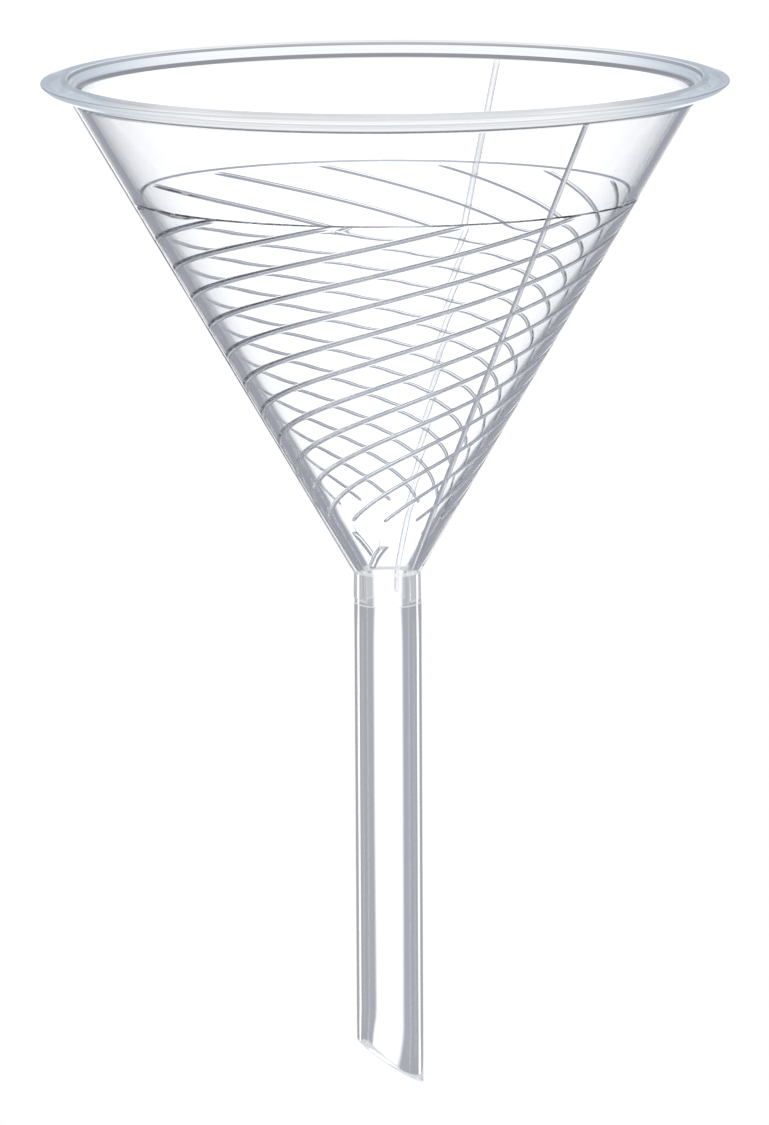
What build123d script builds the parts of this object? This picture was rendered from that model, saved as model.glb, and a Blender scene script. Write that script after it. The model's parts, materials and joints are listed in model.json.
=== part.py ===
from build123d import *

import math
import os

# A clear fluted laboratory funnel: a 60 degree cone with a beaded rim, spiral flutes
# inside, straight vent ribs outside, and a long drip stem with a bevelled tip.
# The axis is Z, the origin is on the axis at the level of the tip's lowest point, and
# the tip's low side faces +X. Azimuths are measured from -Y towards +X.
# The sub-parts meet face to face, as fused glass does, and never overlap.

# ---- driving dimensions, mm ----
RIM_DIAMETER = 100.0
STEM_DIAMETER = 10.0
STEM_BORE = 6.5
STEM_LENGTH = 78.5  # from the cone's foot to the lowest point of the tip
CONE_HEIGHT = 73.05  # from the cone's foot to the rim's outermost edge
CONE_HALF_ANGLE = 30.0
NECK_LENGTH = 4.4
NECK_STEP = 0.04  # how far the stem's top stands proud of the neck, all round
NECK_DRAFT = 0.08  # how much narrower still the neck is at the cone's foot, all round
TIP_BEVEL_ANGLE = 34.5
TIP_BEVEL_TURN = 98.0  # azimuth of the tip's lowest point

RIM_CROWN = 0.45  # the rim's top above its outermost edge
RIM_DEPTH = 2.4  # the rim's underside, where it meets the cone, below that edge

FLUTE_COUNT = 12
FLUTE_FIRST = 17.8  # azimuth where the first flute leaves the flute ring
FLUTE_DROP = 52.8  # how far a flute falls in one turn
FLUTE_RING_DROP = 16.4  # the flute ring below the rim's edge
FLUTE_END_DROP = 63.5  # the flutes' lower ends below the rim's edge
FLUTE_HEIGHT = 0.24

GUIDE_COUNT = 3
GUIDE_FIRST = -4.0  # azimuth of the first throat guide's top
GUIDE_DROP = 67.6  # the guide's top end below the rim's edge
GUIDE_FALL = 3.8
GUIDE_WIDTH = 2.2  # measured down the wall, which the guide crosses at a slant
GUIDE_HEIGHT = 0.5

VENT_COUNT = 3
VENT_FIRST = 37.7
VENT_WIDTH = 1.1
VENT_HEIGHT = 0.14
VENT_STOP = 0.5  # the vent ribs end this far above the neck's lower end

# ---- derived places ----
CONE_SLOPE = math.tan(math.radians(CONE_HALF_ANGLE))
RIM_RADIUS = RIM_DIAMETER / 2
STEM_RADIUS = STEM_DIAMETER / 2
BORE_RADIUS = STEM_BORE / 2
NECK_END_RADIUS = STEM_RADIUS - NECK_STEP
NECK_RADIUS = NECK_END_RADIUS - NECK_DRAFT
FOOT_Z = STEM_LENGTH
EDGE_Z = FOOT_Z + CONE_HEIGHT
RIM_FOOT_Z = EDGE_Z - RIM_DEPTH
NECK_Z = FOOT_Z - NECK_LENGTH
RING_Z = EDGE_Z - FLUTE_RING_DROP
MARGIN = 1.0  # how far a cutting or embedded shape runs past what it meets


def outer_radius(z):
    """Radius of the cone's outside at height z."""
    return NECK_RADIUS + (z - FOOT_Z) * CONE_SLOPE


def inner_radius(z):
    """Radius of the cone's inside at height z: it meets the bore at the cone's foot."""
    return BORE_RADIUS + (z - FOOT_Z) * CONE_SLOPE


def turned(edges):
    """A closed outline in the XZ plane, turned about the axis."""
    face = make_face(Plane.XZ * edges)
    return revolve(face, Axis.Z)


def around(piece, count):
    """The same piece repeated evenly around the axis."""
    return [piece.rotate(Axis.Z, 360.0 / count * i) for i in range(count)]


def write(name, pieces):
    """One STEP file per node: a single solid, or a group of separate solids."""
    shape = pieces[0] if len(pieces) == 1 else Compound(children=pieces)
    shape.label = name
    export_step(shape, f"parts/{name}.step")


def rim_outline():
    """Section of the rim: a flat crowned lip, a parting step and a rounded underside."""
    foot_out = (outer_radius(RIM_FOOT_Z), RIM_FOOT_Z)
    foot_in = (inner_radius(RIM_FOOT_Z), RIM_FOOT_Z)
    inner_edge = (RIM_RADIUS - 3.9, EDGE_Z + RIM_CROWN - 0.05)
    crest = (RIM_RADIUS - 2.4, EDGE_Z + RIM_CROWN)
    shoulder = (RIM_RADIUS - 0.9, EDGE_Z + 0.22)
    outermost = (RIM_RADIUS, EDGE_Z - 0.25)
    step_top = (RIM_RADIUS - 0.05, EDGE_Z - 0.38)
    step_foot = (RIM_RADIUS - 0.3, EDGE_Z - 0.5)
    under = (RIM_RADIUS - 1.6, EDGE_Z - 1.35)
    cone_up = (CONE_SLOPE, 1.0)
    return (
        Line(foot_out, foot_in)
        + Spline(foot_in, inner_edge, tangents=[cone_up, (0.45, 1.0)])
        + ThreePointArc(inner_edge, crest, shoulder)
        + Spline(shoulder, outermost, tangents=[(1.0, -0.28), (0.0, -1.0)])
        + Line(outermost, step_top)
        + Line(step_top, step_foot)
        + Spline(step_foot, under, foot_out, tangents=[(-0.3, -1.0), (-1.0, -0.3)])
    )


def rim_bead():
    return turned(rim_outline())


def cone_shell():
    corners = [
        (outer_radius(FOOT_Z), FOOT_Z),
        (outer_radius(RIM_FOOT_Z), RIM_FOOT_Z),
        (inner_radius(RIM_FOOT_Z), RIM_FOOT_Z),
        (inner_radius(FOOT_Z), FOOT_Z),
    ]
    return turned(Polyline(*corners, close=True))


def neck_collar():
    """The short collar between the cone and the stem, a little narrower at its top."""
    corners = [
        (NECK_END_RADIUS, NECK_Z),
        (NECK_RADIUS, FOOT_Z),
        (BORE_RADIUS, FOOT_Z),
        (BORE_RADIUS, NECK_Z),
    ]
    return turned(Polyline(*corners, close=True))


def stem_tube():
    """The drip stem, cut off by a slanting plane that leaves one long side."""
    outside = Cylinder(STEM_RADIUS, NECK_Z, align=(Align.CENTER, Align.CENTER, Align.MIN))
    bore = Cylinder(BORE_RADIUS, NECK_Z, align=(Align.CENTER, Align.CENTER, Align.MIN))
    turn = math.radians(TIP_BEVEL_TURN)
    rise = math.radians(TIP_BEVEL_ANGLE)
    low_side = Vector(math.sin(turn), -math.cos(turn), 0)
    normal = Vector(0, 0, -math.cos(rise)) - low_side * math.sin(rise)
    low_point = low_side * STEM_RADIUS
    waste = Plane(origin=low_point, z_dir=normal) * Box(
        4 * STEM_DIAMETER, 4 * STEM_DIAMETER, 4 * STEM_DIAMETER,
        align=(Align.CENTER, Align.CENTER, Align.MIN),
    )
    return outside - bore - waste


def wall_point(azimuth, z, along, raised):
    """A point beside the cone's inside: along is down the wall, raised is off the wall."""
    half = math.radians(CONE_HALF_ANGLE)
    turn = math.radians(azimuth)
    radius = inner_radius(z) - along * math.sin(half) - raised * math.cos(half)
    height = z - along * math.cos(half) + raised * math.sin(half)
    return Vector(radius * math.sin(turn), -radius * math.cos(turn), height)


def inside_only(piece):
    """Trim a rib to the part that stands off the cone's inside."""
    low = FOOT_Z - MARGIN
    high = EDGE_Z + MARGIN
    corners = [
        (inner_radius(low), low),
        (inner_radius(high), high),
        (2 * RIM_RADIUS, high),
        (2 * RIM_RADIUS, low),
    ]
    return piece - turned(Polyline(*corners, close=True))


def rib_section(azimuth, z, outline):
    """A rib's section in the half-plane at one azimuth, from (along, raised) pairs."""
    points = [wall_point(azimuth, z, along, raised) for along, raised in outline]
    return Wire.make_polygon(points, close=True)


def spiral_flute():
    """One flute: a narrow ridge that winds down the inner wall.

    It leaves the flute ring and winds down to its tapered end. Its underside touches
    the wall at each section and is straight between them.
    """
    fall = FLUTE_END_DROP - FLUTE_RING_DROP
    last = FLUTE_FIRST - fall / FLUTE_DROP * 360.0
    first = FLUTE_FIRST + 1.2 * 360.0 / FLUTE_COUNT
    steps = 84
    taper = 8  # the last sections, over which the flute's end sinks into the wall
    sections = []
    for i in range(steps + 1):
        azimuth = first + (last - first) * i / steps
        z = RING_Z + (azimuth - FLUTE_FIRST) / 360.0 * FLUTE_DROP
        height = FLUTE_HEIGHT * max(0.1, min(1.0, (steps - i) / taper))
        outline = [
            (-0.42, 0.0),
            (-0.04, 0.95 * height),
            (0.0, height),
            (0.04, 0.95 * height),
            (0.46, 0.0),
        ]
        sections.append(rib_section(azimuth, z, outline))
    blank = Solid.make_loft(sections, ruled=True)
    above = Box(
        4 * RIM_RADIUS, 4 * RIM_RADIUS, 4 * RIM_RADIUS,
        align=(Align.CENTER, Align.CENTER, Align.MIN),
    ).moved(Location((0, 0, RING_Z)))
    return (blank - above).solids().sort_by(SortBy.VOLUME)[-1]


def throat_guide():
    """A short round-backed rib that leads the drops into the stem."""
    sections = []
    steps = 8
    for i in range(steps + 1):
        share = i / steps
        z = EDGE_Z - GUIDE_DROP - share * GUIDE_FALL
        azimuth = GUIDE_FIRST - share * GUIDE_FALL / FLUTE_DROP * 360.0
        swell = max(0.15, math.sqrt(1 - (2 * share - 1) ** 4))
        side = swell * GUIDE_WIDTH / 2
        rise = swell * GUIDE_HEIGHT
        outline = [
            (-side, -MARGIN),
            (-side, 0.0),
            (-0.5 * side, 0.8 * rise),
            (0.0, rise),
            (0.5 * side, 0.8 * rise),
            (side, 0.0),
            (side, -MARGIN),
        ]
        sections.append(rib_section(azimuth, z, outline))
    blank = Solid.make_loft(sections, ruled=True)
    return inside_only(blank).solids().sort_by(SortBy.VOLUME)[-1]


def vent_rib(rim):
    """A straight rib outside the cone, from under the rim down onto the neck."""
    top = RIM_FOOT_Z + MARGIN
    stop = NECK_Z + VENT_STOP
    slant = VENT_HEIGHT / math.cos(math.radians(CONE_HALF_ANGLE))
    corners = [
        (outer_radius(top) - MARGIN, top),
        (outer_radius(top) + slant, top),
        (NECK_RADIUS + VENT_HEIGHT, FOOT_Z),
        (NECK_END_RADIUS + VENT_HEIGHT, stop + VENT_HEIGHT),
        (NECK_END_RADIUS, stop),
        (NECK_RADIUS - MARGIN, stop),
        (NECK_RADIUS - MARGIN, FOOT_Z),
    ]
    outline = make_face(Plane.XZ * Polyline(*corners, close=True))
    plate = extrude(outline, VENT_WIDTH / 2, both=True)
    funnel = [
        (0, NECK_Z),
        (NECK_END_RADIUS, NECK_Z),
        (NECK_RADIUS, FOOT_Z),
        (outer_radius(top + MARGIN), top + MARGIN),
        (0, top + MARGIN),
    ]
    plate = plate - turned(Polyline(*funnel, close=True)) - rim
    rib = plate.solids().sort_by(SortBy.VOLUME)[-1]
    return rib.rotate(Axis.Z, VENT_FIRST - 90.0)


os.makedirs("parts", exist_ok=True)
rim = rim_bead()
write("rim_bead", [rim])
write("cone_shell", [cone_shell()])
write("spiral_flutes", around(spiral_flute(), FLUTE_COUNT))
write("throat_guides", around(throat_guide(), GUIDE_COUNT))
write("vent_ribs", around(vent_rib(rim), VENT_COUNT))
write("neck_collar", [neck_collar()])
write("stem_tube", [stem_tube()])
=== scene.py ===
import json
import math

import bmesh
import bpy
from mathutils import Matrix, Vector


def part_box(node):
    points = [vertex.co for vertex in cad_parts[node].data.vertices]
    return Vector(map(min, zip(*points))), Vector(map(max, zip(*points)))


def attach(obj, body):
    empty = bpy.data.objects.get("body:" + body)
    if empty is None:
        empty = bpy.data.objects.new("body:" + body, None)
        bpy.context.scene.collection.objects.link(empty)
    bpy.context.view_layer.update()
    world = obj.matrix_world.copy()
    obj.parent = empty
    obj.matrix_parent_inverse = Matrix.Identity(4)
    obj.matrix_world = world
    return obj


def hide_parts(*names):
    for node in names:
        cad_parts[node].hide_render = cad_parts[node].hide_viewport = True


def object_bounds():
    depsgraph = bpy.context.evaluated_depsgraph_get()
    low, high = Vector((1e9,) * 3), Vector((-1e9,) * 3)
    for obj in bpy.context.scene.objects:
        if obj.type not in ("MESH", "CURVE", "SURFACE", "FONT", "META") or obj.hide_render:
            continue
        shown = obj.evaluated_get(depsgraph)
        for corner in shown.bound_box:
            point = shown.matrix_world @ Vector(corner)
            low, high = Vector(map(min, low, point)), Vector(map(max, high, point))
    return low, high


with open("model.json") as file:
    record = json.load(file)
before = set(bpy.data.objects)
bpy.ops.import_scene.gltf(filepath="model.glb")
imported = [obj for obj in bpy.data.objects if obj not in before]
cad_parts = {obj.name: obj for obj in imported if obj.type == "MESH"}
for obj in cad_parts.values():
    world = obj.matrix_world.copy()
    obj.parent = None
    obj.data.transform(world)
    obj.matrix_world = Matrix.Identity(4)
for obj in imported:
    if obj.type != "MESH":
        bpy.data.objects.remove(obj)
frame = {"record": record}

# A clear fluted funnel. Each CAD node is replaced by a finer mesh of the same glass part.
# Lengths are metres, Z is the funnel's axis, and azimuths are degrees from -Y towards +X.
# Where two parts are fused the faces between them are see-through, so that light passes
# from one part to the next as it does in one piece of glass.

MM = 0.001
cad_low, cad_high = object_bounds()

# ---- places from the frame ----
rim_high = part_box("rim_bead")[1]
cone_low, cone_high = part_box("cone_shell")
flutes_low, flutes_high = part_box("spiral_flutes")
guides_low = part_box("throat_guides")[0]
neck_low, neck_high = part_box("neck_collar")
stem_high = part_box("stem_tube")[1]
mounts = {mount["name"]: mount for mount in frame["record"]["mounts"]}

RIM_RADIUS = rim_high[0]
NECK_END_RADIUS = neck_high[0]  # the neck narrows a little towards the cone's foot
STEM_RADIUS = stem_high[0]
BORE_RADIUS = mounts["stem_bore"]["dims"]["r_mm"] * MM
RIM_FOOT_Z = cone_high[2]
FOOT_Z = cone_low[2]
NECK_Z = neck_low[2]
RING_Z = flutes_high[2]
FLUTE_END_Z = flutes_low[2]
CONE_LEAN = math.radians(30.0)
CONE_SLOPE = math.tan(CONE_LEAN)
NECK_RADIUS = cone_high[0] - (RIM_FOOT_Z - FOOT_Z) * CONE_SLOPE

# ---- shape of the features ----
COLUMNS = 360
SHARP_ANGLE = 32.0  # faces that meet at more than this keep a hard edge between them

RIM_CROWN = 0.45 * MM
EDGE_Z = rim_high[2] - RIM_CROWN
LIP_RADIUS = RIM_RADIUS - 3.95 * MM
FOOT_SHADE_TOP_Z = RIM_FOOT_Z + 0.4 * MM  # a band of painted grey shade round the outside of the rim's foot
LIP_SHADE_SPAN = (LIP_RADIUS - 0.12 * MM, LIP_RADIUS + 0.08 * MM)  # inner and outer radius of a band of painted grey shade at the lip
INSIDE_SHADE_SPAN = (EDGE_Z - 1.8 * MM, EDGE_Z - 1.15 * MM)  # lower and upper height of a band of painted grey shade on the inside

FLUTE_COUNT = 12
FLUTE_FIRST = 17.8  # azimuth where the first flute leaves the flute ring
FLUTE_DROP = 52.8 * MM  # fall of a flute in one turn
FLUTE_PITCH = FLUTE_DROP / FLUTE_COUNT
FLUTE_HEIGHT = 0.22 * MM
FLUTE_STOP_Z = EDGE_Z - 63.5 * MM  # where the flutes' lines end
FLUTE_TAPER = 0.7 * MM  # fall over which a flute's lower end sinks into the wall
FLUTE_BEGINS = 0.5 * MM  # fall over which a flute rises out of the ring
FLUTE_SPACINGS = 26  # spacings between flutes that one column of faces runs through
RING_STEP = 0.22 * MM  # height of the ledge where the fluted layer begins
RING_TOP_Z = RING_Z + 0.25 * MM
RING_TOLERANCE = 0.0001 * MM
FILM = 0.02 * MM  # least thickness of a layer that carries raised features
FREE_WALL_ROWS = 4  # rows of faces on the smooth wall above the ring

GUIDE_COUNT = 3
GUIDE_FIRST = -4.0
GUIDE_TOP_Z = EDGE_Z - 67.6 * MM
GUIDE_FALL = 3.8 * MM
GUIDE_WIDTH = 2.2 * MM
GUIDE_HEIGHT = 0.5 * MM
GUIDE_ROWS = 44
GUIDE_BAND_FOOT_Z = guides_low[2] - 0.5 * MM

VENT_COUNT = 3
VENT_FIRST = 37.7
VENT_HALF_WIDTH = 0.55 * MM
VENT_HEIGHT = 0.14 * MM
VENT_STOP_Z = NECK_Z + 0.5 * MM
VENT_ROUNDING = 0.6 * MM  # fall over which a rib's lower end rounds off
VENT_LEAST = 0.02  # keeps the rounded end from closing to a line
VENT_ROWS = 26
VENT_SECTION_STEPS = 24
VENT_SPREAD = 12  # columns each side of a rib that make room for its width
VENT_SPACING = COLUMNS // VENT_COUNT  # columns from one rib to the next

BEVEL_TURN = 98.0  # azimuth of the tip's lowest point
BEVEL_RISE = math.tan(math.radians(34.5))
TIP_ROUND = 0.2 * MM
TIP_ROUND_STEPS = 5
SEAM_FALL = 0.2 * MM  # height of the sloping seam at the stem's top
STEM_ROWS = 12

# Azimuths of the columns of faces; the first runs along a vent rib.
AZIMUTHS = [VENT_FIRST + column for column in range(COLUMNS)]

# ---- camera, which stands level with the space above the rim and looks down ----
CAMERA_DISTANCE = 0.8
CAMERA_RISE = 0.0916  # above the rim's outer edge
CAMERA_TILT = 11.54
CAMERA_YAW = 0.033
CAMERA_ROLL = -0.316
CAMERA_LENS = 176.8
CAMERA_SENSOR = 36.0


def outer_radius(z):
    return NECK_RADIUS + (z - FOOT_Z) * CONE_SLOPE


def neck_radius(z):
    share = (z - NECK_Z) / (FOOT_Z - NECK_Z)
    return NECK_END_RADIUS + share * (NECK_RADIUS - NECK_END_RADIUS)


def inner_radius(z):
    """Radius of the cone's inside, whose wall runs side by side with the outside."""
    return BORE_RADIUS + (z - FOOT_Z) * CONE_SLOPE


def place(azimuth, radius, z):
    turn = math.radians(azimuth)
    return (radius * math.sin(turn), -radius * math.cos(turn), z)


def steps(first, last, count):
    """Evenly spaced values, both ends included."""
    return [first + (last - first) * i / count for i in range(count + 1)]


def smooth_curve(knots, x):
    """Height at x of a smooth curve through (x, height) knots that never overshoots."""
    if x <= knots[0][0]:
        return knots[0][1]
    if x >= knots[-1][0]:
        return knots[-1][1]
    slopes = [
        (b[1] - a[1]) / (b[0] - a[0]) for a, b in zip(knots[:-1], knots[1:])
    ]
    bends = [0.0]
    for before, after in zip(slopes[:-1], slopes[1:]):
        same_way = before * after > 0
        bends.append(2 * before * after / (before + after) if same_way else 0.0)
    bends.append(0.0)
    i = max(n for n in range(len(slopes)) if knots[n][0] <= x)
    width = knots[i + 1][0] - knots[i][0]
    t = (x - knots[i][0]) / width
    return (
        knots[i][1] * (2 * t**3 - 3 * t**2 + 1)
        + knots[i + 1][1] * (3 * t**2 - 2 * t**3)
        + bends[i] * width * (t**3 - 2 * t**2 + t)
        + bends[i + 1] * width * (t**3 - t**2)
    )


def hermite(start, end, leave, arrive, count):
    """Points along a curve that leaves and arrives in the given directions."""
    a, b = Vector(start), Vector(end)
    length = (b - a).length
    p, q = Vector(leave).normalized() * length, Vector(arrive).normalized() * length
    points = []
    for t in steps(0.0, 1.0, count):
        point = (
            a * (2 * t**3 - 3 * t**2 + 1)
            + b * (3 * t**2 - 2 * t**3)
            + p * (t**3 - 2 * t**2 + t)
            + q * (t**3 - t**2)
        )
        points.append((point.x, point.y))
    return points


GLASS, JOINED, CUT, PAINTED_SHADE_BAND = range(4)  # kinds of surface, in the order of the materials; the last is glass with painted grey shade


class Piece:
    """A closed mesh, gathered face by face; points in the same place are one point."""

    WELD = 1e-8

    def __init__(self, name):
        self.name = name
        self.index = {}
        self.points = []
        self.faces = []
        self.surfaces = []

    def point(self, spot):
        key = tuple(round(value / self.WELD) for value in spot)
        if key not in self.index:
            self.index[key] = len(self.points)
            self.points.append(spot)
        return self.index[key]

    def face(self, spots, surface=GLASS):
        corners = []
        for spot in spots:
            corner = self.point(spot)
            if corner not in corners:
                corners.append(corner)
        if len(corners) > 2:
            self.faces.append(corners)
            self.surfaces.append(surface)

    def skin(self, rows, surface=GLASS, closed=True):
        """Quads between successive rows of points. surface may depend on (row, column)."""
        for r, (upper, lower) in enumerate(zip(rows[:-1], rows[1:])):
            count = len(upper)
            for c in range(count if closed else count - 1):
                n = (c + 1) % count
                kind = surface(r, c) if callable(surface) else surface
                self.face([upper[c], upper[n], lower[n], lower[c]], kind)

    def finish(self, node, material):
        """Makes the object, which stands for a CAD node."""
        mesh = bpy.data.meshes.new(self.name)
        mesh.from_pydata(self.points, [], self.faces)
        for surface_material in (material, FUSED, FROSTED_AND_GLOWING, PAINTED_SHADE_GLASS):
            mesh.materials.append(surface_material)
        for polygon, surface in zip(mesh.polygons, self.surfaces):
            polygon.material_index = surface
        mesh.shade_smooth()
        made = bpy.data.objects.new(self.name, mesh)
        bpy.context.scene.collection.objects.link(made)
        settle_normals(mesh)
        mesh.set_sharp_from_angle(angle=math.radians(SHARP_ANGLE))
        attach(made, "root")
        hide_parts(node)
        return made


def settle_normals(mesh):
    """Turns every face of a closed mesh outwards."""
    work = bmesh.new()
    work.from_mesh(mesh)
    bmesh.ops.recalc_face_normals(work, faces=work.faces)
    work.to_mesh(mesh)
    work.free()


def plain_ring(radius, z):
    return [place(azimuth, radius, z) for azimuth in AZIMUTHS]


def vent_half_angle(radius):
    """Half the angle that a vent rib takes up at this radius, in degrees."""
    return math.degrees(math.asin(VENT_HALF_WIDTH / radius))


def ribbed_ring(radius, z):
    """A ring whose columns run along the edges and the middle of each vent rib."""
    half = vent_half_angle(radius)
    ring = []
    for column in range(COLUMNS):
        nearest = round(column / VENT_SPACING)
        offset = column - nearest * VENT_SPACING
        steps_out = abs(offset)
        if 0 < steps_out < VENT_SPREAD:
            share = (steps_out - 1) / (VENT_SPREAD - 1)
            offset = math.copysign(half + share * (VENT_SPREAD - half), offset)
        rib = VENT_FIRST + nearest * 360.0 / VENT_COUNT
        ring.append(place(rib + offset, radius, z))
    return ring


def under_rib(row, column):
    """The two columns of faces that a vent rib covers are joined to it."""
    return JOINED if column % VENT_SPACING in (0, VENT_SPACING - 1) else GLASS


def vent_levels():
    """Heights from under the rim to the cone's foot, closer together lower down."""
    top, foot = outer_radius(RIM_FOOT_Z), NECK_RADIUS
    radii = [top * (foot / top) ** (i / VENT_ROWS) for i in range(VENT_ROWS + 1)]
    levels = [FOOT_Z + (radius - NECK_RADIUS) / CONE_SLOPE for radius in radii]
    levels[0], levels[-1] = RIM_FOOT_Z, FOOT_Z
    return levels


# ---- the rim ----
def rim_outline():
    """Section of the rim, from the outside of its foot over the lip to the inside.

    Its corners are given in millimetres in from the rim's outside and above its edge.
    """
    foot_out = (outer_radius(RIM_FOOT_Z), RIM_FOOT_Z)
    foot_in = (inner_radius(RIM_FOOT_Z), RIM_FOOT_Z)

    def at(inward, above):
        return (RIM_RADIUS - inward * MM, EDGE_Z + above * MM)

    under = at(1.6, -1.35)
    step_foot = at(0.3, -0.5)
    step_top = at(0.05, -0.38)
    outermost = at(0.0, -0.25)
    shoulder = at(0.9, 0.22)
    crest = at(2.4, 0.45)
    lip = at(3.75, 0.42)
    inner_edge = (LIP_RADIUS, EDGE_Z + 0.27 * MM)
    ledge = at(4.3, -0.62)
    ledge_edge = at(4.66, -0.78)
    along_under = (step_foot[0] - foot_out[0], step_foot[1] - foot_out[1])
    return (
        hermite(foot_out, under, (1.0, 0.3), along_under, 10)
        + hermite(under, step_foot, along_under, (0.3, 1.0), 8)[1:]
        + hermite(step_foot, step_top, (1.0, 0.2), (0.6, 1.0), 3)[1:]
        + hermite(step_top, outermost, (0.3, 1.0), (0.0, 1.0), 2)[1:]
        + hermite(outermost, shoulder, (0.0, 1.0), (-1.0, 0.28), 12)[1:]
        + hermite(shoulder, crest, (-1.0, 0.28), (-1.0, 0.03), 6)[1:]
        + hermite(crest, lip, (-1.0, 0.03), (-1.0, -0.1), 6)[1:]
        + hermite(lip, inner_edge, (-1.0, -0.1), (-0.45, -1.0), 6)[1:]
        + hermite(inner_edge, ledge, (-0.45, -1.0), (-0.25, -1.0), 5)[1:]
        + hermite(ledge, ledge_edge, (-0.6, -1.0), (-1.0, -0.2), 5)[1:]
        + hermite(ledge_edge, foot_in, (-0.3, -1.0), (-CONE_SLOPE, -1.0), 8)[1:]
    )


def make_rim(material):
    """The rim, with bands of painted grey shade at its foot, at the lip and on the inside.
    """
    piece = Piece("rim")
    outline = rim_outline()

    # Rows at the rim's foot, at the lip and on the inside get painted grey shade.
    def surface(row, column):
        radius, z = outline[row]
        if row > len(outline) // 2:
            at_lip = LIP_SHADE_SPAN[0] < radius < LIP_SHADE_SPAN[1]
            painted_shade = at_lip or INSIDE_SHADE_SPAN[0] < z < INSIDE_SHADE_SPAN[1]
        else:
            painted_shade = z < FOOT_SHADE_TOP_Z
        return PAINTED_SHADE_BAND if painted_shade else GLASS

    piece.skin([plain_ring(radius, z) for radius, z in outline], surface=surface)
    piece.skin([plain_ring(*outline[-1]), plain_ring(*outline[0])], surface=JOINED)
    return piece.finish("rim_bead", material)


# ---- the cone ----
def make_cone(material):
    piece = Piece("cone")
    outside = [ribbed_ring(outer_radius(z), z) for z in vent_levels()]
    piece.skin(outside, surface=under_rib)
    free = steps(RIM_FOOT_Z, RING_TOP_Z, FREE_WALL_ROWS)
    covered = [RING_TOP_Z, FLUTE_END_Z, GUIDE_BAND_FOOT_Z]
    throat = [GUIDE_BAND_FOOT_Z, FOOT_Z]
    piece.skin([plain_ring(inner_radius(z), z) for z in free])
    piece.skin([plain_ring(inner_radius(z), z) for z in covered], surface=JOINED)
    # The throat's inside is cut glass, whitened by its painted glow.
    piece.skin([plain_ring(inner_radius(z), z) for z in throat], surface=CUT)
    top = [outside[0], plain_ring(inner_radius(RIM_FOOT_Z), RIM_FOOT_Z)]
    foot = [outside[-1], plain_ring(inner_radius(FOOT_Z), FOOT_Z)]
    piece.skin(top, surface=JOINED)
    piece.skin(foot, surface=JOINED)
    return piece.finish("cone_shell", material)


# ---- the flutes ----
# Each is a narrow ridge with a faint hollow slope on either side of it.
FLUTE_PROFILE = [
    (-2.0, 0.0), (-1.47, 0.008), (-0.93, 0.034), (-0.4, 0.076), (-0.34, 0.13),
    (-0.04, 0.95), (0.0, 1.0), (0.04, 0.95), (0.47, 0.13), (0.55, 0.078), (1.1, 0.035),
    (1.65, 0.009), (2.2, 0.0),
]  # (mm down the wall from the flute's line, share of its height)
# Rows of points, in mm down the wall from the flute's line, close together on the ridge.
FLUTE_ROWS = [
    -2.0, -1.47, -0.93, -0.5, -0.4, -0.37, -0.34, -0.27, -0.19, -0.11, -0.04, -0.02, 0.0,
    0.02, 0.04, 0.15, 0.26, 0.37, 0.47, 0.51, 0.55, 0.68, 1.1, 1.65, 2.2,
]


def layer(z):
    """Thickness of the fluted layer between its flutes; it thins out downwards."""
    fade = (z - FLUTE_END_Z) / (RING_Z - FLUTE_END_Z)
    return FILM + (RING_STEP - FILM) * fade


def flute_raise(azimuth, z):
    """How far the glass stands off the wall, in metres."""
    line = RING_Z + (azimuth - FLUTE_FIRST) / 360.0 * FLUTE_DROP
    below = (line - z) % FLUTE_PITCH
    along = below / math.cos(CONE_LEAN) / MM
    spacing = FLUTE_PITCH / math.cos(CONE_LEAN) / MM
    if along > spacing + FLUTE_PROFILE[0][0]:
        along -= spacing
    line_z = z + along * MM * math.cos(CONE_LEAN)
    left = min(1.0, max(0.0, (line_z - FLUTE_STOP_Z) / FLUTE_TAPER))
    begun = min(1.0, (RING_Z - z) / FLUTE_BEGINS)
    height = FLUTE_HEIGHT * math.sqrt(1 - (1 - left) ** 2) * begun
    return layer(z) + height * smooth_curve(FLUTE_PROFILE, along)


def raised_place(azimuth, z, raised):
    """A point that stands off the cone's inside by a distance square to the wall."""
    return place(azimuth, inner_radius(z) - raised / math.cos(CONE_LEAN), z)


def sharpen_ring(mesh):
    """Keeps a hard edge all along the ring, where the fluted layer begins."""
    for edge in mesh.edges:
        heights = [mesh.vertices[corner].co.z for corner in edge.vertices]
        if all(abs(z - RING_Z) < RING_TOLERANCE for z in heights):
            edge.use_edge_sharp = True


def make_flutes(material):
    piece = Piece("flutes")
    spacing = FLUTE_PITCH / math.cos(CONE_LEAN) / MM
    turns = [k + row / spacing for k in range(FLUTE_SPACINGS) for row in FLUTE_ROWS]

    def spot(column, turn):
        azimuth = VENT_FIRST + column
        z = RING_Z + (azimuth - FLUTE_FIRST) / 360.0 * FLUTE_DROP - turn * FLUTE_PITCH
        z = max(FLUTE_END_Z, min(RING_Z, z))
        return raised_place(azimuth, z, flute_raise(azimuth, z))

    for column in range(COLUMNS):
        for upper, lower in zip(turns[:-1], turns[1:]):
            piece.face([
                spot(column, upper),
                spot(column + 1, upper),
                spot(column + 1, lower),
                spot(column, lower),
            ])
    ends = ((RING_Z, RING_TOP_Z, GLASS), (FLUTE_END_Z, FLUTE_END_Z, JOINED))
    for z, wall_z, surface in ends:
        wall = plain_ring(inner_radius(wall_z), wall_z)
        crest = [raised_place(a, z, flute_raise(a, z)) for a in AZIMUTHS]
        piece.skin([wall, crest], surface=surface)
    base = [plain_ring(inner_radius(z), z) for z in (RING_TOP_Z, FLUTE_END_Z)]
    piece.skin(base, surface=JOINED)
    flutes = piece.finish("spiral_flutes", material)
    sharpen_ring(flutes.data)
    return flutes


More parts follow.
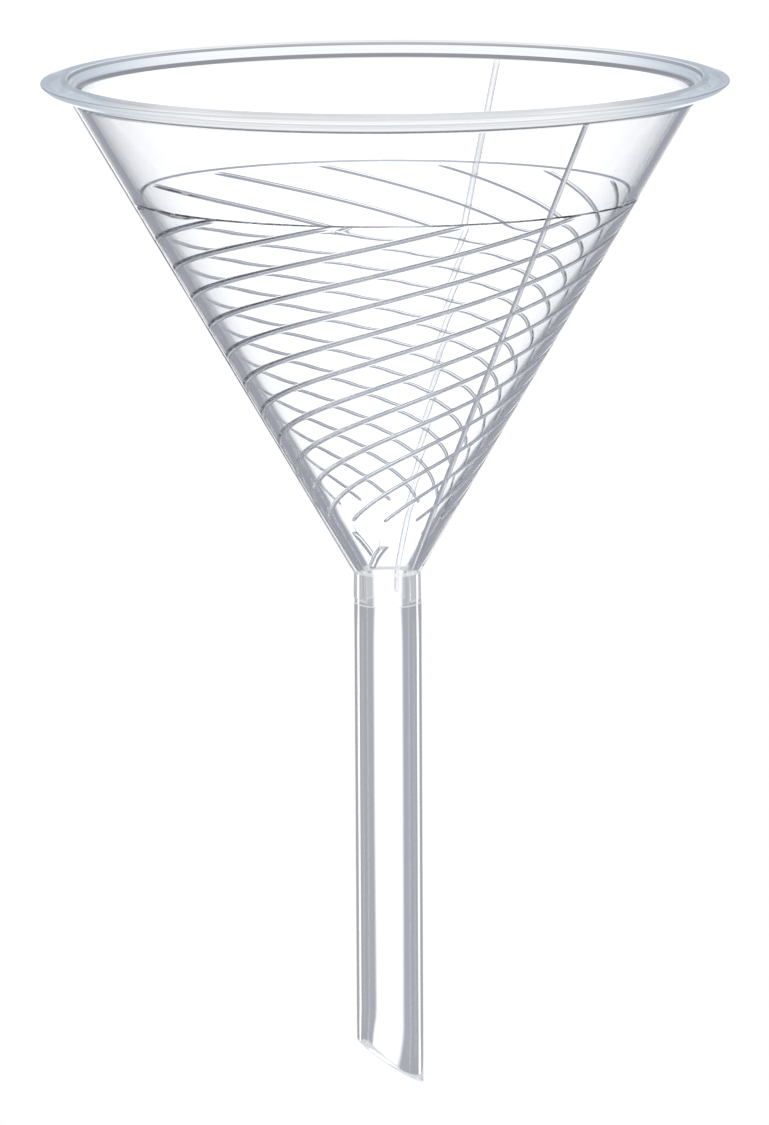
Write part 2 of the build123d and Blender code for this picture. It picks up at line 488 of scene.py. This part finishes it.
# ---- the throat guides ----
def guide_raise(azimuth, z):
    """How far the glass stands off the wall, in metres; a guide runs as a flute does."""
    share = (GUIDE_TOP_Z - z) / GUIDE_FALL
    centre = GUIDE_FIRST - share * GUIDE_FALL / FLUTE_DROP * 360.0
    spacing = 360.0 / GUIDE_COUNT
    off = (azimuth - centre + spacing / 2) % spacing - spacing / 2
    across = off / 360.0 * FLUTE_DROP / math.cos(CONE_LEAN)
    ends = 1 - min(1.0, abs(2 * share - 1)) ** 4
    sides = 1 - min(1.0, abs(across) / (GUIDE_WIDTH / 2)) ** 2
    return FILM + GUIDE_HEIGHT * math.sqrt(max(0.0, ends)) * max(0.0, sides) ** 0.75


def make_guides(material):
    piece = Piece("guides")
    levels = [FLUTE_END_Z] + steps(GUIDE_TOP_Z, GUIDE_BAND_FOOT_Z, GUIDE_ROWS)
    raised = [
        [raised_place(a, z, guide_raise(a, z)) for a in AZIMUTHS] for z in levels
    ]
    piece.skin(raised)
    top = plain_ring(inner_radius(levels[0]), levels[0])
    foot = plain_ring(inner_radius(levels[-1]), levels[-1])
    piece.skin([top, raised[0]], surface=JOINED)
    piece.skin([raised[-1], foot])
    piece.skin([foot, top], surface=JOINED)
    return piece.finish("throat_guides", material)


# ---- the vent ribs ----
def rib_section():
    """(sideways share, height share) across a rib, whose back is an even curve."""
    return [(side, 1 - side * side) for side in steps(-1.0, 1.0, VENT_SECTION_STEPS)]


def make_ribs(material):
    piece = Piece("ribs")
    levels = [(outer_radius(z), z, 1.0) for z in vent_levels()]
    rounding = steps(VENT_STOP_Z + VENT_ROUNDING, VENT_STOP_Z, 6)
    for z in rounding:
        share = (z - VENT_STOP_Z) / (rounding[0] - VENT_STOP_Z)
        swell = math.sqrt(max(VENT_LEAST, 1 - (1 - share) ** 2))
        levels.append((neck_radius(z), z, swell))
    for rib in range(VENT_COUNT):
        centre = VENT_FIRST + rib * 360.0 / VENT_COUNT
        rows = []
        bases = []
        for radius, z, swell in levels:
            half = vent_half_angle(radius)
            wall = [place(centre + side * half, radius, z) for side in (1, 0, -1)]
            out = (Vector(wall[1]) * Vector((1, 1, 0))).normalized()
            lean = CONE_LEAN if z > FOOT_Z else 0.0
            off = Vector((
                out.x * math.cos(lean), out.y * math.cos(lean), -math.sin(lean)
            ))
            row = []
            for side, rise in rib_section():
                edge = Vector(place(centre + side * half, radius, z))
                row.append(tuple(edge + off * (rise * swell * VENT_HEIGHT)))
            row[0] = place(centre - half, radius, z)
            row[-1] = place(centre + half, radius, z)
            rows.append(row)
            bases.append(wall)
        piece.skin(rows, closed=False)
        piece.skin(bases, surface=JOINED, closed=False)
        for end in (0, -1):
            piece.face(rows[end] + [bases[end][1]])
    return piece.finish("vent_ribs", material)


# ---- the neck and the stem ----
def make_neck(material):
    piece = Piece("neck")
    outside = [ribbed_ring(neck_radius(z), z) for z in (FOOT_Z, VENT_STOP_Z)]
    lower = [ribbed_ring(neck_radius(z), z) for z in (VENT_STOP_Z, NECK_Z)]
    bore = [plain_ring(BORE_RADIUS, z) for z in (FOOT_Z, NECK_Z)]
    piece.skin(outside, surface=under_rib)
    piece.skin(lower)
    piece.skin(bore)
    piece.skin([outside[0], bore[0]], surface=JOINED)
    piece.skin([lower[-1], bore[-1]], surface=JOINED)
    return piece.finish("neck_collar", material)


def make_stem(material):
    """The stem ends on a slanting plane with its cut edges melted round."""
    piece = Piece("stem")

    def bevel(azimuth, radius):
        """Height of the cut at a point of the end face."""
        side = math.cos(math.radians(azimuth - BEVEL_TURN))
        return (STEM_RADIUS - radius * side) * BEVEL_RISE

    def rounded(radius):
        """How far the end face draws back near its inner and outer edges."""
        near = min(STEM_RADIUS - radius, radius - BORE_RADIUS) / TIP_ROUND
        return TIP_ROUND * (1 - math.sqrt(max(0.0, 1 - max(0.0, 1 - near) ** 2)))

    def wall(radius, top):
        rows = []
        for share in steps(0.0, 1.0, STEM_ROWS):
            row = []
            for azimuth in AZIMUTHS:
                end = bevel(azimuth, radius) + rounded(radius)
                row.append(place(azimuth, radius, top + (end - top) * share))
            rows.append(row)
        return rows

    outside = wall(STEM_RADIUS, NECK_Z - SEAM_FALL)
    bore = wall(BORE_RADIUS, NECK_Z)
    angles = steps(0.0, 90.0, TIP_ROUND_STEPS)
    curve = [1 - math.cos(math.radians(angle)) for angle in angles]
    radii = [STEM_RADIUS - TIP_ROUND * share for share in curve]
    radii += [BORE_RADIUS + TIP_ROUND * share for share in reversed(curve)]
    end = [
        [place(a, radius, bevel(a, radius) + rounded(radius)) for a in AZIMUTHS]
        for radius in radii
    ]
    shoulder = plain_ring(NECK_END_RADIUS, NECK_Z)
    piece.skin(outside)
    piece.skin(bore)
    piece.skin(end, surface=CUT)
    piece.skin([outside[0], shoulder], surface=CUT)
    piece.skin([shoulder, bore[0]], surface=JOINED)
    return piece.finish("stem_tube", material)


# ---- materials ----
REFRACTION = 1.5
TINTS = ((0.975, 0.985, 1.0, 1.0), (0.985, 0.992, 1.0, 1.0))
CLOUDS = 90.0  # clouds of haze and tint in one metre of glass
# Painted glow: emitted colours that stand in for light scattered by hazy glass, in the
# middle of the view and out at the rim's ends.
PAINTED_GLOW_COLOURS = ((0.97, 0.99, 1.0, 1.0), (0.68, 0.79, 0.9, 1.0))
# Painted grey shade of the rim's bands, darker in the middle of the view than at the rim's
# ends.
PAINTED_SHADE_GREY = ((0.17, 0.17, 0.2, 1.0), (0.27, 0.27, 0.32, 1.0))
MIDDLE_WITHIN = 0.5 * RIM_RADIUS  # distance off the camera's line of sight


def node_maker(tree):
    """A function that adds a node, sets its plain inputs and links the others."""

    def make(kind, inputs=None, **settings):
        node = tree.nodes.new(kind)
        for key, value in settings.items():
            setattr(node, key, value)
        for key, value in (inputs or {}).items():
            if isinstance(value, bpy.types.NodeSocket):
                tree.links.new(value, node.inputs[key])
            else:
                node.inputs[key].default_value = value
        return node

    return make


def clear_glass(name, ripple_size, ripple_depth, most_haze, painted_glow_share, glow=PAINTED_GLOW_COLOURS):
    """Clear glass with a faint cool tint, slow surface ripples and slight haze.

    ripple_size is the ripples' size across and along the axis, in metres. The argument
    after most_haze is the share of the surface that is a painted glow, an emission mixed
    in instead of the glass that stands in for light scattered by hazy glass, and glow is
    its colour. Both are given for the middle of the view and for the rim's ends.
    """
    material = bpy.data.materials.new(name)
    material.use_nodes = True
    tree = material.node_tree
    tree.nodes.clear()
    make = node_maker(tree)
    across, along = ripple_size
    where = make("ShaderNodeTexCoord").outputs["Object"]
    stretched = make("ShaderNodeMapping", {
        "Vector": where, "Scale": (1 / across, 1 / across, 1 / along),
    }).outputs["Vector"]
    ripple = make(
        "ShaderNodeTexNoise", {"Vector": stretched, "Scale": 1.0, "Detail": 1.0}
    ).outputs["Fac"]
    bump = make(
        "ShaderNodeBump", {"Height": ripple, "Strength": 1.0, "Distance": ripple_depth}
    ).outputs["Normal"]
    cloud = make(
        "ShaderNodeTexNoise", {"Vector": where, "Scale": CLOUDS, "Detail": 2.0}
    ).outputs["Fac"]
    haze = make(
        "ShaderNodeMapRange", {"Value": cloud, "To Min": 0.0, "To Max": most_haze}
    ).outputs["Result"]
    tint = make(
        "ShaderNodeMix", {"Factor": cloud, 6: TINTS[0], 7: TINTS[1]}, data_type="RGBA"
    ).outputs[2]
    glass = make("ShaderNodeBsdfPrincipled", {
        "Base Color": tint,
        "Roughness": haze,
        "IOR": REFRACTION,
        "Transmission Weight": 1.0,
        "Normal": bump,
    })
    seen_at = make("ShaderNodeTexCoord").outputs["Camera"]
    across_view = make("ShaderNodeSeparateXYZ", {0: seen_at}).outputs["X"]
    off_middle = make(
        "ShaderNodeMath", {0: across_view}, operation="ABSOLUTE"
    ).outputs[0]
    outwards = make("ShaderNodeMapRange", {
        "Value": off_middle, "From Min": MIDDLE_WITHIN, "From Max": RIM_RADIUS,
    }, interpolation_type="SMOOTHSTEP").outputs["Result"]
    share = make("ShaderNodeMapRange", {
        "Value": outwards, "To Min": painted_glow_share[0], "To Max": painted_glow_share[1],
    }).outputs["Result"]
    colour = make(
        "ShaderNodeMix", {"Factor": outwards, 6: glow[0], 7: glow[1]}, data_type="RGBA"
    ).outputs[2]
    # Painted glow: an emission standing in for light scattered by hazy glass, bluer
    # towards the rim's ends.
    glow_emission = make("ShaderNodeEmission", {"Color": colour})
    glass_and_glow = make("ShaderNodeMixShader", {
        "Fac": share, 1: glass.outputs["BSDF"], 2: glow_emission.outputs["Emission"],
    })
    make("ShaderNodeOutputMaterial", {"Surface": glass_and_glow.outputs["Shader"]})
    return material


def fused_glass():
    """The faces inside the glass where two parts are one: light passes straight on."""
    material = bpy.data.materials.new("fused_glass")
    material.use_nodes = True
    tree = material.node_tree
    tree.nodes.clear()
    make = node_maker(tree)
    through = make("ShaderNodeBsdfTransparent")
    make("ShaderNodeOutputMaterial", {"Surface": through.outputs["BSDF"]})
    return material


# ---- light: a bright field behind the glass, dim sides and a soft light overhead ----
BRIGHT_WITHIN = 9.5  # degrees off the camera's line of sight
DIM_BEYOND = 15.5
OVERHEAD_FROM = 30.0  # degrees above the camera's line of sight
OVERHEAD_FULL = 60.0
UNDER_FROM = 52.0  # degrees below it
UNDER_FULL = 78.0
BACKGROUND = (1.0, 1.0, 1.0, 1.0)
BRIGHT = (1.32, 1.32, 1.32, 1.0)
DIM = (0.34, 0.35, 0.39, 1.0)
OVERHEAD = (0.98, 1.05, 1.13, 1.0)
FLOOR_RADIUS = 3.0
FLOOR_GAP = 0.2 * MM  # space under the tip


def bright_field():
    """A node group: the light that comes from a direction given in camera space."""
    group = bpy.data.node_groups.new("bright_field", "ShaderNodeTree")
    sockets = group.interface
    sockets.new_socket("Direction", in_out="INPUT", socket_type="NodeSocketVector")
    sockets.new_socket("Light", in_out="OUTPUT", socket_type="NodeSocketColor")
    make = node_maker(group)

    def share_between(angle, start, end):
        """Rises softly from 0 to 1 as the angle goes from start to end, in degrees."""
        return make("ShaderNodeMapRange", {
            "Value": angle,
            "From Min": math.radians(start),
            "From Max": math.radians(end),
        }, interpolation_type="SMOOTHSTEP").outputs["Result"]

    def mix(share, colour, other):
        return make(
            "ShaderNodeMix", {"Factor": share, 6: colour, 7: other}, data_type="RGBA"
        ).outputs[2]

    given = make("NodeGroupInput").outputs["Direction"]
    ahead = make("ShaderNodeVectorMath", {0: given}, operation="NORMALIZE").outputs[0]
    parts = make("ShaderNodeSeparateXYZ", {0: ahead}).outputs
    off_axis = make(
        "ShaderNodeMath", {0: parts["Z"]}, operation="ARCCOSINE"
    ).outputs[0]
    above = make("ShaderNodeMath", {0: parts["Y"]}, operation="ARCSINE").outputs[0]
    around = mix(share_between(above, OVERHEAD_FROM, OVERHEAD_FULL), DIM, OVERHEAD)
    around = mix(share_between(above, -UNDER_FROM, -UNDER_FULL), around, OVERHEAD)
    field = mix(share_between(off_axis, BRIGHT_WITHIN, DIM_BEYOND), BRIGHT, around)
    seen = make("ShaderNodeLightPath").outputs["Is Camera Ray"]
    make("NodeGroupOutput", {"Light": mix(seen, field, BACKGROUND)})
    return group


def light_world(group):
    """The bright field, all round the scene."""
    world = bpy.data.worlds.new("studio")
    world.use_nodes = True
    tree = world.node_tree
    tree.nodes.clear()
    make = node_maker(tree)
    direction = make("ShaderNodeTexCoord").outputs["Camera"]
    field = make("ShaderNodeGroup", node_tree=group)
    tree.links.new(direction, field.inputs[0])
    sky = make("ShaderNodeBackground", {"Color": field.outputs[0]})
    make("ShaderNodeOutputWorld", {"Surface": sky.outputs[0]})
    bpy.context.scene.world = world


def lay_floor(group):
    """A pale floor under the tip, lit as evenly as the background."""
    bpy.ops.mesh.primitive_circle_add(
        vertices=96, radius=FLOOR_RADIUS, fill_type="NGON",
        location=(0, 0, cad_low[2] - FLOOR_GAP),
    )
    floor = bpy.context.object
    floor.name = "floor"
    material = bpy.data.materials.new("pale_floor")
    material.use_nodes = True
    tree = material.node_tree
    tree.nodes.clear()
    make = node_maker(tree)
    towards_eye = make("ShaderNodeNewGeometry").outputs["Incoming"]
    ahead = make(
        "ShaderNodeVectorMath", {0: towards_eye, 1: (-1, -1, -1)}, operation="MULTIPLY"
    ).outputs[0]
    direction = make(
        "ShaderNodeVectorTransform", {"Vector": ahead},
        vector_type="VECTOR", convert_from="WORLD", convert_to="CAMERA",
    ).outputs[0]
    field = make("ShaderNodeGroup", node_tree=group)
    tree.links.new(direction, field.inputs[0])
    glow = make("ShaderNodeEmission", {"Color": field.outputs[0]})
    make("ShaderNodeOutputMaterial", {"Surface": glow.outputs[0]})
    floor.data.materials.append(material)


def set_camera():
    """The camera looks at the axis from the front, a little downwards."""
    data = bpy.data.cameras.new("camera")
    data.lens = CAMERA_LENS
    data.sensor_width = CAMERA_SENSOR
    data.clip_start, data.clip_end = 0.01, 20.0
    camera = bpy.data.objects.new("camera", data)
    bpy.context.scene.collection.objects.link(camera)
    camera.location = (0.0, -CAMERA_DISTANCE, EDGE_Z + CAMERA_RISE)
    turn = (
        Matrix.Rotation(math.radians(CAMERA_YAW), 3, "Z")
        @ Matrix.Rotation(math.radians(90.0 - CAMERA_TILT), 3, "X")
        @ Matrix.Rotation(math.radians(CAMERA_ROLL), 3, "Z")
    )
    camera.rotation_euler = turn.to_euler()
    bpy.context.scene.camera = camera


def set_look():
    """Light paths long enough for glass, and plain colours."""
    scene = bpy.context.scene
    scene.view_settings.view_transform = "Standard"
    scene.cycles.max_bounces = 32
    scene.cycles.transmission_bounces = 32
    scene.cycles.glossy_bounces = 16
    scene.cycles.transparent_max_bounces = 64


FUSED = fused_glass()
# Cut glass: frosted, with half of it a painted glow.
FROSTED_AND_GLOWING = clear_glass(
    "clear_glass_cut_and_glowing", (1.5 * MM, 1.5 * MM), 0.01 * MM, 0.3, (0.5, 0.5)
)
MOULDED = clear_glass(
    "clear_glass_moulded", (9 * MM, 14 * MM), 0.004 * MM, 0.012, (0, 0)
)
# Glass of the rim's bands: six tenths of it painted grey shade.
PAINTED_SHADE_GLASS = clear_glass(
    "clear_glass_painted_shade", (5 * MM, 5 * MM), 0.004 * MM, 0.1, (0.6, 0.6), PAINTED_SHADE_GREY
)
# Rim glass: a near-white painted glow over most of it in the middle of the view, fading to
# a quarter share of pale-blue painted glow at the rim's ends.
BEADED_GLOWING = clear_glass(
    "clear_glass_beaded_glowing", (9 * MM, 2.5 * MM), 0.014 * MM, 0.02, (0.62, 0.24)
)
RIBBED = clear_glass("clear_glass_ribbed", (3 * MM, 9 * MM), 0.004 * MM, 0.8, (0, 0))
# Neck glass: a tenth of it a painted glow.
JOINING_GLOWING = clear_glass(
    "clear_glass_joining_glowing", (3 * MM, 9 * MM), 0.004 * MM, 0.012, (0.1, 0.1)
)
# Stem glass: a faint painted glow, three hundredths of it.
DRAWN_GLOWING = clear_glass(
    "clear_glass_drawn_glowing", (1.6 * MM, 60 * MM), 0.009 * MM, 0.012, (0.03, 0.03)
)

make_rim(BEADED_GLOWING)
make_cone(MOULDED)
make_flutes(MOULDED)
make_guides(MOULDED)
make_ribs(RIBBED)
make_neck(JOINING_GLOWING)
make_stem(DRAWN_GLOWING)

field_group = bright_field()
light_world(field_group)
lay_floor(field_group)
set_camera()
set_look()
